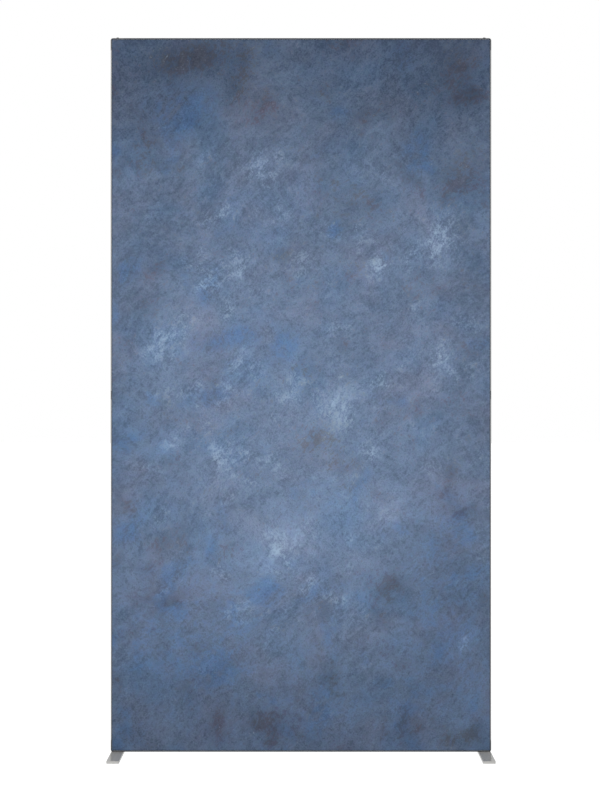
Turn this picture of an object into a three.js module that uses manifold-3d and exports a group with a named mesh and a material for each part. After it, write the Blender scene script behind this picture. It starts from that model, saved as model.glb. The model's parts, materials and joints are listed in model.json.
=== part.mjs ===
// A free-standing partition wall: a plug-together aluminium frame with a printed fabric stretched
// over its front, and two flat bar feet. Millimetres, +Z up, the front faces -Y, and the origin is
// on the floor under the middle of the wall.
//
// Two short measures are used all over. "inset" runs inward from an outer edge of the wall, and
// "back" runs from the front face of the frame to its back.

import * as THREE from 'three';
import { mergeVertices } from 'three/addons/utils/BufferGeometryUtils.js';
import Module from 'manifold-3d';

const wasm = await Module();
wasm.setup();

// Driving dimensions
const WALL_WIDTH = 1219.2;
const WALL_HEIGHT = 2286;
const FACE = 38; // width of a profile seen from the front
const DEPTH = 40; // depth of the frame
const GAP = 0.3; // between pieces that touch
const WALL = 2; // of the aluminium profiles
const LIP = 3; // outer lip beside the fabric
const GROOVE = 3.4; // width of the fabric's groove
const GROOVE_DEPTH = 14;
const FABRIC = 0.8; // thickness of the fabric
const CORNER_RADIUS = 8; // outer corners of the wall
const JOINER_HEIGHT = 28; // visible collar at mid-height
const TONGUE_LENGTH = 60;
const TONGUE_PLAY = 0.4; // between a tongue and its profile, on each side
const TONGUE_WALL = 3;
const BRACE = 25; // side of the square cross brace
const BRACE_WALL = 1.6;
const BRACE_TONGUE = 50;
const FOOT_WIDTH = 40;
const FOOT_LENGTH = 400;
const FOOT_THICKNESS = 8;
const PAD_THICKNESS = 1;
const AXIS_INSET = 21; // foot screws and top buttons, from the outer edge
const BUTTON_RADIUS = 4;
const BUTTON_PROUD = 1.8; // of the buttons and pins on the back
const LOCK_PROUD = 4.6; // of the lock buttons on top
const TRAVEL = 4; // of every button and of the latch pins
const BUTTON_AT = 22; // from the root of a tongue to its button
const SCREW_AT = 20; // from the root of a tongue to its screw
const SLIDE_PLAY = 0.3; // round a sliding pin

// Worked out from them
const HALF_WIDTH = WALL_WIDTH / 2;
const FRONT = -DEPTH / 2;
const BACK = DEPTH / 2;
const FOOT_BOTTOM = PAD_THICKNESS + GAP;
const FOOT_TOP = FOOT_BOTTOM + FOOT_THICKNESS;
const BASE = FOOT_TOP + GAP;
const TOP = BASE + WALL_HEIGHT;
const MIDDLE = BASE + WALL_HEIGHT / 2;
const SEAT = FABRIC + GAP; // depth of the face that the fabric lies on
const GROOVE_END = LIP + GROOVE;
const CHAMBER = { low: GROOVE_END + WALL, high: FACE - WALL, front: WALL + 1, back: DEPTH - WALL };
const CHAMBER_MIDDLE = (CHAMBER.low + CHAMBER.high) / 2;
const NARROW_CHAMBER_END = GROOVE_END - 0.5; // of the chamber behind the groove
const BORE = BUTTON_RADIUS + SLIDE_PLAY;

const SIDES = [['left', -1], ['right', 1]];
const ENDS = [['bottom', -1], ['top', 1]];

const finish = (color, roughness, metalness) =>
  new THREE.MeshStandardMaterial({ color, roughness, metalness });
const materials = {
  aluminium: () => finish(0xb9bbbd, 0.38, 1),
  connector: () => finish(0x55575a, 0.55, 0),
  foot: () => finish(0xc4c6c8, 0.25, 1),
  steel: () => finish(0x9a9c9e, 0.35, 1),
  spring: () => finish(0x8a8c8e, 0.4, 1),
  brass: () => finish(0xb08d4a, 0.4, 1),
  rubber: () => finish(0x1c1c1d, 0.9, 0),
  silicone: () => finish(0xd9dadb, 0.6, 0),
  fabric: () => finish(0x5f7391, 0.95, 0),
};

const wall = new THREE.Group();

// Places in the frame ---------------------------------------------------------------------------

// x at an inset from the left (-1) or right (+1) edge, and z from the bottom (-1) or top (+1) edge
const xAt = (side, inset) => side * (HALF_WIDTH - inset);
const zAt = (end, inset) => (end < 0 ? BASE + inset : TOP - inset);
const yAt = (back) => FRONT + back;

// Shapes ----------------------------------------------------------------------------------------

const AXES = {
  x: new THREE.Vector3(1, 0, 0),
  y: new THREE.Vector3(0, 1, 0),
  z: new THREE.Vector3(0, 0, 1),
};
const NEXT = { x: 'y', y: 'z', z: 'x' };

// A straight bar along an axis. Its outline is drawn in the other two axes, in the order x y z x,
// so (y, z) for a bar along x, (z, x) along y and (x, y) along z.
function prism(axis, from, to, outline, holes = []) {
  const points = outline.map(([a, b]) => new THREE.Vector2(a, b));
  // Holes come out right only where the outline runs anticlockwise
  const shape = new THREE.Shape(THREE.ShapeUtils.isClockWise(points) ? points.reverse() : points);
  for (const hole of holes) {
    shape.holes.push(new THREE.Path(hole.map(([a, b]) => new THREE.Vector2(a, b))));
  }
  const low = Math.min(from, to);
  const geometry = new THREE.ExtrudeGeometry(shape, { depth: Math.abs(to - from), bevelEnabled: false });
  const first = NEXT[axis];
  const turn = new THREE.Matrix4().makeBasis(AXES[first], AXES[NEXT[first]], AXES[axis]);
  geometry.translate(0, 0, low);
  return geometry.applyMatrix4(turn);
}

function rectangle(a0, b0, a1, b1) {
  return [[a0, b0], [a1, b0], [a1, b1], [a0, b1]];
}

function block(x0, x1, y0, y1, z0, z1) {
  const geometry = new THREE.BoxGeometry(Math.abs(x1 - x0), Math.abs(y1 - y0), Math.abs(z1 - z0));
  return geometry.translate((x0 + x1) / 2, (y0 + y1) / 2, (z0 + z1) / 2);
}

// Points of an arc from angle a to angle b, in quarter turns
function arc(cx, cy, radius, a, b, steps) {
  const points = [];
  for (let i = 0; i <= steps; i += 1) {
    const angle = ((a + ((b - a) * i) / steps) * Math.PI) / 2;
    points.push([cx + radius * Math.cos(angle), cy + radius * Math.sin(angle)]);
  }
  return points;
}

// A rectangle with round corners, each in a few steps
function roundedRectangle(a0, b0, a1, b1, radius, steps = 4) {
  return [
    ...arc(a1 - radius, b1 - radius, radius, 0, 1, steps),
    ...arc(a0 + radius, b1 - radius, radius, 1, 2, steps),
    ...arc(a0 + radius, b0 + radius, radius, 2, 3, steps),
    ...arc(a1 - radius, b0 + radius, radius, 3, 4, steps),
  ];
}

// A piece turned about an axis through (a, b), which are its places in the axes as in prism. The
// profile lists (radius, place along the axis), from the axis back to the axis, upwards.
function turned(axis, a, b, profile, sides = 20) {
  const points = profile.map(([radius, along]) => new THREE.Vector2(radius, along));
  const geometry = new THREE.LatheGeometry(points, sides);
  const first = NEXT[axis];
  const turn = new THREE.Matrix4().makeBasis(AXES[NEXT[first]], AXES[axis], AXES[first]);
  const place = AXES[first].clone().multiplyScalar(a);
  place.addScaledVector(AXES[NEXT[first]], b);
  return geometry.applyMatrix4(turn).translate(place.x, place.y, place.z);
}

function cylinder(axis, a, b, radius, from, to, sides = 20) {
  const low = Math.min(from, to);
  const high = Math.max(from, to);
  return turned(axis, a, b, [[0, low], [radius, low], [radius, high], [0, high]], sides);
}

// Solids ----------------------------------------------------------------------------------------

// Leaves out the triangles that have shrunk to a line, as at the poles of a turned piece
function withoutSlivers(corners) {
  const kept = [];
  for (let i = 0; i < corners.length; i += 3) {
    const [a, b, c] = corners.slice(i, i + 3);
    if (a !== b && b !== c && c !== a) {
      kept.push(a, b, c);
    }
  }
  return kept;
}

function solid(geometry) {
  if (geometry instanceof wasm.Manifold) {
    return geometry;
  }
  const bare = geometry.clone();
  bare.deleteAttribute('normal');
  bare.deleteAttribute('uv');
  const merged = mergeVertices(bare, 1e-4);
  const vertProperties = new Float32Array(merged.attributes.position.array);
  const triVerts = new Uint32Array(withoutSlivers(merged.index.array));
  return new wasm.Manifold(new wasm.Mesh({ numProp: 3, vertProperties, triVerts }));
}

const joined = (shapes) => shapes.map(solid).reduce((whole, shape) => whole.add(shape));
const cut = (shape, tools) => tools.map(solid).reduce((rest, tool) => rest.subtract(tool), solid(shape));

function add(name, shape, material) {
  let geometry = shape;
  if (shape instanceof wasm.Manifold) {
    const { numProp, vertProperties, triVerts } = shape.getMesh();
    geometry = new THREE.BufferGeometry();
    geometry.setAttribute('position', new THREE.BufferAttribute(vertProperties, numProp));
    geometry.setIndex(new THREE.BufferAttribute(triVerts, 1));
    geometry.computeVertexNormals();
  }
  const mesh = new THREE.Mesh(geometry, materials[material]());
  mesh.name = name;
  wall.add(mesh);
}

// Profiles --------------------------------------------------------------------------------------

// Outline of the profile as (inset, back): an outer lip, the fabric's groove and the face behind it
function profileOutline() {
  const edge = 0.8;
  return [
    [edge, 0],
    [LIP, 0],
    [LIP, GROOVE_DEPTH],
    [GROOVE_END, GROOVE_DEPTH],
    [GROOVE_END, SEAT],
    [FACE, SEAT],
    ...arc(FACE - edge, DEPTH - edge, edge, 0, 1, 3),
    ...arc(edge, DEPTH - edge, edge, 1, 2, 3),
    ...arc(edge, edge, edge, 2, 3, 3).slice(0, -1),
  ];
}

// The main chamber takes the tongues, and a narrow one runs behind the groove
function profileChambers() {
  return [
    rectangle(CHAMBER.low, CHAMBER.front, CHAMBER.high, CHAMBER.back),
    rectangle(WALL, GROOVE_DEPTH + WALL, NARROW_CHAMBER_END, DEPTH - WALL),
  ];
}

function upright(side, z0, z1, holes) {
  const place = ([inset, back]) => [xAt(side, inset), yAt(back)];
  const chambers = profileChambers().map((chamber) => chamber.map(place));
  const bar = prism('z', z0, z1, profileOutline().map(place), chambers);
  const drilled = holes.map(([z, inset, radius]) => backHole(xAt(side, inset), z, radius));
  return cut(bar, drilled);
}

// A hole along y, through the back wall of a profile only
function backHole(x, z, radius, back = BACK, depth = WALL + 1) {
  return cylinder('y', z, x, radius, back - depth, back + 1);
}

function rail(end) {
  const place = ([inset, back]) => [yAt(back), zAt(end, inset)];
  const half = HALF_WIDTH - FACE - GAP;
  const chambers = profileChambers().map((chamber) => chamber.map(place));
  const bar = prism('x', -half, half, profileOutline().map(place), chambers);
  const z = zAt(end, CHAMBER_MIDDLE);
  const drilled = SIDES.map(([, side]) => backHole(xAt(side, FACE + SCREW_AT), z, SCREW.hole + GAP));
  return cut(bar, drilled);
}

// Tongues ---------------------------------------------------------------------------------------

const TONGUE = {
  low: CHAMBER.low + TONGUE_PLAY,
  high: CHAMBER.high - TONGUE_PLAY,
  front: yAt(CHAMBER.front + TONGUE_PLAY),
  back: yAt(CHAMBER.back - TONGUE_PLAY),
};
const SCREW = { hole: 2, shank: 1.7, head: 3.8, headHeight: 2.2, length: 9 };
const ROOT_WALL = 4; // solid material between a collar and the hollow of its tongue

// Upright tongue from height z0, pointing up (+1) or down (-1); it overlaps its collar by 1 mm
function uprightTongue(side, z0, direction, hollow = true) {
  const tip = z0 + direction * TONGUE_LENGTH;
  const body = block(
    xAt(side, TONGUE.low), xAt(side, TONGUE.high), TONGUE.front, TONGUE.back, z0 - direction, tip);
  if (!hollow) {
    return solid(body);
  }
  const core = block(
    xAt(side, TONGUE.low + TONGUE_WALL), xAt(side, TONGUE.high - TONGUE_WALL),
    TONGUE.front + TONGUE_WALL, TONGUE.back - TONGUE_WALL,
    z0 + direction * ROOT_WALL, tip + direction);
  return cut(body, [core]);
}

function railTongue(side, end) {
  const root = xAt(side, FACE);
  const tip = xAt(side, FACE + TONGUE_LENGTH);
  const body = block(
    root + side, tip, TONGUE.front, TONGUE.back, zAt(end, TONGUE.low), zAt(end, TONGUE.high));
  const core = block(
    xAt(side, FACE + ROOT_WALL), tip - side, TONGUE.front + TONGUE_WALL, TONGUE.back - TONGUE_WALL,
    zAt(end, TONGUE.low + TONGUE_WALL), zAt(end, TONGUE.high - TONGUE_WALL));
  const screwHole = backHole(xAt(side, FACE + SCREW_AT), zAt(end, CHAMBER_MIDDLE), SCREW.hole, BACK, 8);
  return cut(body, [core, screwHole]);
}

// Lock in the top corners -----------------------------------------------------------------------

// A button on top pushes a rod down. A slanted finger on the rod draws a latch pin forward, out of
// the hole in the back of the upright. Measures are depths below the top of the wall.
const LOCK = {
  pin: FACE + BUTTON_AT,
  capDepth: 6,
  rodTop: 2.3,
  rodRadius: 2,
  springSeat: 24,
  finger: 3,
  fingerWidth: 3.2,
  fingerPlay: 0.4,
  slotY: 7,
  reach: 10,
  pinFront: 0,
};

// Slanted bar through the latch pin, as (y, z): one millimetre back for each millimetre down
function fingerOutline(thickness, above, below) {
  const z = TOP - LOCK.pin;
  const half = thickness / 2;
  return [
    [LOCK.slotY - above - half, z + above],
    [LOCK.slotY - above + half, z + above],
    [LOCK.slotY + below + half, z - below],
    [LOCK.slotY + below - half, z - below],
  ];
}

function lockBores(side) {
  const x = xAt(side, AXIS_INSET);
  const z = TOP - LOCK.pin;
  const half = LOCK.rodRadius + SLIDE_PLAY;
  const ledge = TOP - LOCK.springSeat;
  const pocketTop = z + LOCK.reach + 5;
  return [
    cylinder('z', x, 0, BORE, ledge, TOP + 1),
    cylinder('z', x, 0, LOCK.rodRadius + SLIDE_PLAY, pocketTop - 1, ledge + 1),
    block(x - half, x + half, -7, LOCK.slotY + 7, TOP - FACE - TONGUE_LENGTH - 1, pocketTop),
    cylinder('y', z, x, BORE, LOCK.pinFront - TRAVEL - 1, BACK),
  ];
}

function addLock(name, side) {
  const x = xAt(side, AXIS_INSET);
  const z = TOP - LOCK.pin;
  const half = LOCK.fingerWidth / 2;
  const capLow = TOP - LOCK.capDepth;
  const crown = TOP + LOCK_PROUD;
  const cap = turned('z', x, 0, [
    [0, capLow],
    [BUTTON_RADIUS, capLow],
    [BUTTON_RADIUS, crown - 0.9],
    [BUTTON_RADIUS - 0.5, crown - 0.3],
    [BUTTON_RADIUS - 1.5, crown],
    [0, crown],
  ]);
  const socket = cylinder('z', x, 0, LOCK.rodRadius + GAP, capLow - 1, TOP - LOCK.rodTop + GAP);
  add(`lock_button_${name}`, cut(cap, [socket]), 'steel');

  const shoulder = z + LOCK.reach;
  add(`lock_rod_${name}`, joined([
    cylinder('z', x, 0, LOCK.rodRadius, shoulder + 1, TOP - LOCK.rodTop, 16),
    block(x - half, x + half, -5, 2.5, shoulder - 1, shoulder + 3),
    prism('x', x - half, x + half, fingerOutline(LOCK.finger, LOCK.reach, BUTTON_RADIUS + 0.5)),
  ]), 'steel');

  const tip = BACK + BUTTON_PROUD;
  const pin = turned('y', z, x, [
    [0, LOCK.pinFront],
    [BUTTON_RADIUS, LOCK.pinFront],
    [BUTTON_RADIUS, tip - 1.4],
    [BUTTON_RADIUS - 0.8, tip - 0.5],
    [BUTTON_RADIUS - 2, tip],
    [0, tip],
  ]);
  const slotHalf = half + LOCK.fingerPlay;
  const slot = prism('x', x - slotHalf, x + slotHalf,
    fingerOutline(LOCK.finger + 2 * LOCK.fingerPlay, LOCK.reach, LOCK.reach));
  add(`latch_pin_${name}`, cut(pin, [slot]), 'steel');

  const wire = 0.5;
  const low = TOP - LOCK.springSeat + GAP + wire;
  const spring = { low, high: capLow - GAP - wire, radius: 3.1, turns: 5 };
  add(`lock_spring_${name}`, coil(x, 0, spring, wire), 'spring');
}

// A helix about a vertical line at (x, y)
class Helix extends THREE.Curve {
  constructor(x, y, { low, high, radius, turns }) {
    super();
    Object.assign(this, { x, y, low, high, radius, turns });
  }

  getPoint(t, target = new THREE.Vector3()) {
    const angle = t * this.turns * Math.PI * 2;
    const z = this.low + t * (this.high - this.low);
    return target.set(this.x + this.radius * Math.cos(angle), this.y + this.radius * Math.sin(angle), z);
  }
}

function coil(x, y, spring, wire) {
  const extrudePath = new Helix(x, y, spring);
  const ring = arc(0, 0, wire, 0, 4, 6).slice(0, -1);
  const section = new THREE.Shape(ring.map(([a, b]) => new THREE.Vector2(a, b)));
  const steps = spring.turns * 12;
  return new THREE.ExtrudeGeometry(section, { extrudePath, steps, bevelEnabled: false });
}

// Corner connectors -----------------------------------------------------------------------------

const BUSH = { radius: 6, bore: 4.2, length: 16 };
const FOOT_SCREW = {
  shank: 3.9,
  head: 8,
  headHeight: 4.2,
  socket: 2.9,
  socketDepth: 3,
  reach: 20, // of its tip above the bottom of the frame
  bore: 27, // depth of the hole for it
};

// Square block with one round outer corner, drawn as (inset from the side, inset from the end)
function cornerOutline() {
  return [
    ...arc(CORNER_RADIUS, CORNER_RADIUS, CORNER_RADIUS, 2, 3, 6),
    [FACE, 0],
    [FACE, FACE],
    [0, FACE],
  ];
}

function cornerBlock(side, end) {
  const outline = cornerOutline().map(([across, up]) => [zAt(end, up), xAt(side, across)]);
  const far = FACE + 1;
  const recess = (a0, b0, a1, b1, depth) =>
    block(xAt(side, a0), xAt(side, a1), FRONT - 1, yAt(depth), zAt(end, b0), zAt(end, b1));
  return cut(prism('y', FRONT, BACK, outline), [
    recess(LIP, LIP, far, far, SEAT),
    recess(LIP, LIP, GROOVE_END, far, GROOVE_DEPTH),
    recess(LIP, LIP, far, GROOVE_END, GROOVE_DEPTH),
  ]);
}

// The block and its two tongues are one moulding. A bottom corner is bored for its foot screw and
// snap button, and a top one for its lock.
function addCorner(endName, end, sideName, side) {
  const direction = -end;
  const root = zAt(end, FACE);
  const x = xAt(side, AXIS_INSET);
  const parts = [
    cornerBlock(side, end),
    uprightTongue(side, root, direction, end < 0),
    railTongue(side, end),
  ];
  const bores = end > 0 ? lockBores(side) : [
    cylinder('z', x, 0, BUSH.radius + GAP, BASE - 1, BASE + BUSH.length + 2 * GAP),
    cylinder('z', x, 0, FOOT_SCREW.shank + 2 * GAP, BASE, BASE + FOOT_SCREW.bore),
    snapHole(xAt(side, CHAMBER_MIDDLE), root + direction * BUTTON_AT),
  ];
  add(`corner_${endName}_${sideName}`, cut(joined(parts), bores), 'connector');
}

const snapHole = (x, z) => backHole(x, z, BORE, BACK, 8);

// Mid-height joiners ----------------------------------------------------------------------------

function addJoiner(name, side) {
  const half = JOINER_HEIGHT / 2;
  const place = ([inset, back]) => [xAt(side, inset), yAt(back)];
  const collar = prism('z', MIDDLE - half, MIDDLE + half, profileOutline().map(place));
  const width = BRACE / 2 - BRACE_WALL - TONGUE_PLAY;
  const inner = width - WALL;
  const tip = xAt(side, FACE + BRACE_TONGUE);
  const bar = block(xAt(side, FACE - 1), tip, -width, width, MIDDLE - width, MIDDLE + width);
  const core = block(
    xAt(side, FACE + ROOT_WALL), tip - side, -inner, inner, MIDDLE - inner, MIDDLE + inner);
  const x = xAt(side, CHAMBER_MIDDLE);
  const body = joined([
    collar,
    uprightTongue(side, MIDDLE + half, 1),
    uprightTongue(side, MIDDLE - half, -1),
    cut(bar, [core]),
  ]);
  add(`joiner_${name}`, cut(body, [
    snapHole(x, MIDDLE + half + BUTTON_AT),
    backHole(x, MIDDLE - half - SCREW_AT, SCREW.hole, BACK, 8),
    backHole(xAt(side, FACE + BUTTON_AT), MIDDLE, BORE, width, 5),
  ]), 'connector');
}

function addBrace() {
  const half = HALF_WIDTH - FACE - GAP;
  const outer = BRACE / 2;
  const inner = outer - BRACE_WALL;
  const tube = prism('x', -half, half, roundedRectangle(-outer, MIDDLE - outer, outer, MIDDLE + outer, 2),
    [rectangle(-inner, MIDDLE - inner, inner, MIDDLE + inner)]);
  const drilled = SIDES.map(([, side]) => backHole(xAt(side, FACE + BUTTON_AT), MIDDLE, BORE, outer));
  add('cross_brace', cut(tube, drilled), 'aluminium');
}

// Snap buttons and their leaf springs -----------------------------------------------------------

const FLANGE = { thickness: 1.5, radius: BUTTON_RADIUS + 1.6 };
const LEAF = { thickness: 0.8, halfWidth: 4, start: -5, bend: 12 };

// The button stands out of the back of a profile at (x, z). The wall that its flange rests on runs
// at wallY, and tip is the place of its outer end.
function addSnap(name, x, z, wallY, tip) {
  const rim = wallY - GAP;
  add(`snap_button_${name}`, turned('y', z, x, [
    [0, rim - FLANGE.thickness],
    [FLANGE.radius, rim - FLANGE.thickness],
    [FLANGE.radius, rim],
    [BUTTON_RADIUS, rim],
    [BUTTON_RADIUS, tip - 1.4],
    [BUTTON_RADIUS - 0.8, tip - 0.5],
    [BUTTON_RADIUS - 2, tip],
    [0, tip],
  ]), 'steel');
}

// A strip bent into a U: one arm under the button, the other against the front wall. (along) is
// the way from the button to the bend, up or down for an upright and inward for the brace.
function addSnapSpring(name, x, z, wallY, frontWall, alongAxis, along) {
  const high = wallY - 2 * GAP - FLANGE.thickness;
  const low = frontWall + GAP;
  const radius = (high - low) / 2;
  const outline = [
    [LEAF.start, high],
    ...arc(LEAF.bend, high - radius, radius, 1, -1, 10),
    [LEAF.start, low],
    [LEAF.start, low + LEAF.thickness],
    ...arc(LEAF.bend, high - radius, radius - LEAF.thickness, -1, 1, 10),
    [LEAF.start, high - LEAF.thickness],
  ];
  const upright = alongAxis === 'z';
  const centre = upright ? z : x;
  const across = upright ? x : z;
  const place = ([reach, y]) => (upright ? [y, centre + along * reach] : [centre + along * reach, y]);
  const strip = prism(
    upright ? 'x' : 'z', across - LEAF.halfWidth, across + LEAF.halfWidth, outline.map(place));
  add(`snap_spring_${name}`, strip, 'spring');
}

function addSnaps() {
  const wallY = TONGUE.back - TONGUE_WALL;
  const frontWall = TONGUE.front + TONGUE_WALL;
  const tip = BACK + BUTTON_PROUD;
  const braceWall = BRACE / 2 - BRACE_WALL - TONGUE_PLAY - WALL;
  for (const [name, side] of SIDES) {
    const x = xAt(side, CHAMBER_MIDDLE);
    const low = BASE + FACE + BUTTON_AT;
    const high = MIDDLE + JOINER_HEIGHT / 2 + BUTTON_AT;
    addSnap(`lower_${name}`, x, low, wallY, tip);
    addSnapSpring(`lower_${name}`, x, low, wallY, frontWall, 'z', 1);
    addSnap(`upper_${name}`, x, high, wallY, tip);
    addSnapSpring(`upper_${name}`, x, high, wallY, frontWall, 'z', 1);
    const braceX = xAt(side, FACE + BUTTON_AT);
    addSnap(`brace_${name}`, braceX, MIDDLE, braceWall, BRACE / 2 + BUTTON_PROUD);
    addSnapSpring(`brace_${name}`, braceX, MIDDLE, braceWall, -braceWall, 'x', -side);
  }
}

// Screws ----------------------------------------------------------------------------------------

// Pan-head screw into the back of the frame, with a cross recess
function addFrameScrew(name, x, z) {
  const seat = BACK + GAP;
  const crown = seat + SCREW.headHeight;
  const screw = turned('y', z, x, [
    [0, BACK - SCREW.length],
    [SCREW.shank - 0.6, BACK - SCREW.length],
    [SCREW.shank, BACK - SCREW.length + 1.5],
    [SCREW.shank, seat],
    [SCREW.head, seat],
    [SCREW.head, seat + 1.1],
    [SCREW.head - 0.9, crown - 0.25],
    [SCREW.head - 2.2, crown],
    [0, crown],
  ]);
  const recess = [
    block(x - 2, x + 2, crown - 1.2, crown + 1, z - 0.4, z + 0.4),
    block(x - 0.4, x + 0.4, crown - 1.2, crown + 1, z - 2, z + 2),
  ];
  add(`frame_screw_${name}`, cut(screw, recess), 'steel');
}

function addFrameScrews() {
  for (const [sideName, side] of SIDES) {
    for (const [endName, end] of ENDS) {
      addFrameScrew(`${endName}_${sideName}`, xAt(side, FACE + SCREW_AT), zAt(end, CHAMBER_MIDDLE));
    }
    addFrameScrew(`joiner_${sideName}`, xAt(side, CHAMBER_MIDDLE), MIDDLE - JOINER_HEIGHT / 2 - SCREW_AT);
  }
}

// Feet ------------------------------------------------------------------------------------------

// Flat bar with softened top and bottom edges, and a countersunk hole for its screw
function footPlate(x) {
  const bevel = 1;
  const outline = roundedRectangle(
    -FOOT_WIDTH / 2 + bevel, -FOOT_LENGTH / 2 + bevel, FOOT_WIDTH / 2 - bevel, FOOT_LENGTH / 2 - bevel, 3);
  const shape = new THREE.Shape(outline.map(([a, b]) => new THREE.Vector2(a, b)));
  const plate = new THREE.ExtrudeGeometry(shape, {
    depth: FOOT_THICKNESS - 2 * bevel,
    bevelThickness: bevel,
    bevelSize: bevel,
    bevelSegments: 2,
  });
  plate.translate(x, 0, FOOT_BOTTOM + bevel);
  return cut(plate, [turned('z', x, 0, [
    [0, FOOT_BOTTOM - 1],
    [FOOT_SCREW.head + 1, FOOT_BOTTOM - 1],
    [FOOT_SCREW.head + 1, FOOT_BOTTOM + 0.6],
    [BUSH.bore + 0.2, FOOT_BOTTOM + FOOT_SCREW.headHeight + 1.2],
    [BUSH.bore + 0.2, FOOT_TOP + 1],
    [0, FOOT_TOP + 1],
  ], 24)]);
}

function footScrew(x) {
  const low = FOOT_BOTTOM + 0.4;
  const tip = BASE + FOOT_SCREW.reach;
  const screw = turned('z', x, 0, [
    [0, low],
    [FOOT_SCREW.head, low],
    [FOOT_SCREW.shank, low + FOOT_SCREW.headHeight],
    [FOOT_SCREW.shank, tip - 1],
    [FOOT_SCREW.shank - 1, tip],
    [0, tip],
  ], 24);
  const hexagon = arc(x, 0, FOOT_SCREW.socket, 0, 4, 6).slice(0, -1);
  return cut(screw, [prism('z', low - 1, low + FOOT_SCREW.socketDepth, hexagon)]);
}

function addFoot(name, side) {
  const x = xAt(side, AXIS_INSET);
  add(`foot_plate_${name}`, footPlate(x), 'foot');
  add(`foot_screw_${name}`, footScrew(x), 'steel');
  const ring = (radius) => arc(x, 0, radius, 0, 4, 20).slice(0, -1);
  const low = BASE + GAP;
  add(`foot_bush_${name}`, prism('z', low, low + BUSH.length, ring(BUSH.radius), [ring(BUSH.bore)]), 'brass');
  for (const [place, y] of [['front', -1], ['back', 1]]) {
    const pad = cylinder('z', x, y * (FOOT_LENGTH / 2 - 22), 14, 0, PAD_THICKNESS, 28);
    add(`foot_pad_${place}_${name}`, pad, 'rubber');
  }
}

// Fabric and its edge strips --------------------------------------------------------------------

function addFabric() {
  const inset = LIP + GAP;
  const half = HALF_WIDTH - inset;
  const outline = roundedRectangle(BASE + inset, -half, TOP - inset, half, CORNER_RADIUS - LIP, 4);
  add('fabric_face', prism('y', FRONT, FRONT + FABRIC, outline), 'fabric');
}

const STRIP = { inset: LIP + 0.4, thickness: 2.6, width: 12, play: 0.2 };

function addEdgeStrips() {
  const front = yAt(SEAT + STRIP.play);
  const back = front + STRIP.width;
  const corner = CORNER_RADIUS - 1;
  const far = STRIP.inset + STRIP.thickness;
  const x = HALF_WIDTH - corner;
  for (const [name, side] of SIDES) {
    const strip = block(
      xAt(side, STRIP.inset), xAt(side, far), front, back, BASE + corner, TOP - corner);
    add(`edge_strip_${name}`, strip, 'silicone');
  }
  for (const [name, end] of ENDS) {
    add(`edge_strip_${name}`, block(-x, x, front, back, zAt(end, STRIP.inset), zAt(end, far)), 'silicone');
  }
}

// The whole wall --------------------------------------------------------------------------------

for (const [name, side] of SIDES) {
  const half = JOINER_HEIGHT / 2;
  const snap = (z) => [z, CHAMBER_MIDDLE, BORE];
  add(`upright_lower_${name}`, upright(side, BASE + FACE + GAP, MIDDLE - half - GAP, [
    snap(BASE + FACE + BUTTON_AT),
    [MIDDLE - half - SCREW_AT, CHAMBER_MIDDLE, SCREW.hole + GAP],
  ]), 'aluminium');
  add(`upright_upper_${name}`, upright(side, MIDDLE + half + GAP, TOP - FACE - GAP, [
    snap(MIDDLE + half + BUTTON_AT),
    [TOP - LOCK.pin, AXIS_INSET, BORE],
  ]), 'aluminium');
  addJoiner(name, side);
  addLock(name, side);
  addFoot(name, side);
}
for (const [endName, end] of ENDS) {
  add(`rail_${endName}`, rail(end), 'aluminium');
  for (const [sideName, side] of SIDES) {
    addCorner(endName, end, sideName, side);
  }
}
addBrace();
addSnaps();
addFrameScrews();
addFabric();
addEdgeStrips();

export default wall;
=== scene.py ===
"""A free-standing partition wall: an aluminium frame with a knit fabric, printed like painted canvas,
stretched over its front, dark moulded connectors and two flat silver bar feet. Metres, +Z up, the
front faces -Y."""

import json
import math

import bmesh
import bpy
import numpy as np
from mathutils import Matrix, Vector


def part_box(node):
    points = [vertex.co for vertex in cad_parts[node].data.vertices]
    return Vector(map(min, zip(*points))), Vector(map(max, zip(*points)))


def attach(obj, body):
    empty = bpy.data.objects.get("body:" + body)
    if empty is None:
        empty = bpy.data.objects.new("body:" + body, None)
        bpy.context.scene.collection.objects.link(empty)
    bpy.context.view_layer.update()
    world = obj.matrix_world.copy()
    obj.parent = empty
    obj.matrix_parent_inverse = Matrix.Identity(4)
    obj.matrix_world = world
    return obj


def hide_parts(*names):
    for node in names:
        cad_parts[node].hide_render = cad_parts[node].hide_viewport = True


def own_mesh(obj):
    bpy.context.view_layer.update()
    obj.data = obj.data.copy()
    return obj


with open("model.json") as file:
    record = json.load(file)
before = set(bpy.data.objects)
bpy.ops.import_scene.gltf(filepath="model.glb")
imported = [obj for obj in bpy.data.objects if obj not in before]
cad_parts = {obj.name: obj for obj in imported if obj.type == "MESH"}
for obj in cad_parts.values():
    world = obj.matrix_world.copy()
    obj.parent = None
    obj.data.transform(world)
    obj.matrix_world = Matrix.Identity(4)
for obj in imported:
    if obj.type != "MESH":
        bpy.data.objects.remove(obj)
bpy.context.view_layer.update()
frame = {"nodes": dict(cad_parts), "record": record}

MM = 0.001
SIDES = ("left", "right")
ENDS = ("bottom", "top")


# ---------------------------------------------------------------- camera

CAMERA_HEIGHT = 1.178
CAMERA_DISTANCE = 7.2  # from the fabric
VIEW_AT_WALL = 2.5624  # height of the view at the fabric
SENSOR = 36.0  # millimetres, the long side
VIEW_DROP = 0.0162  # the view's centre lies this far below eye level, as a part of its height
VIEW_LEFT = 0.0012  # and this far to the left of the wall's middle
FAR_CLIP = 200


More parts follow.
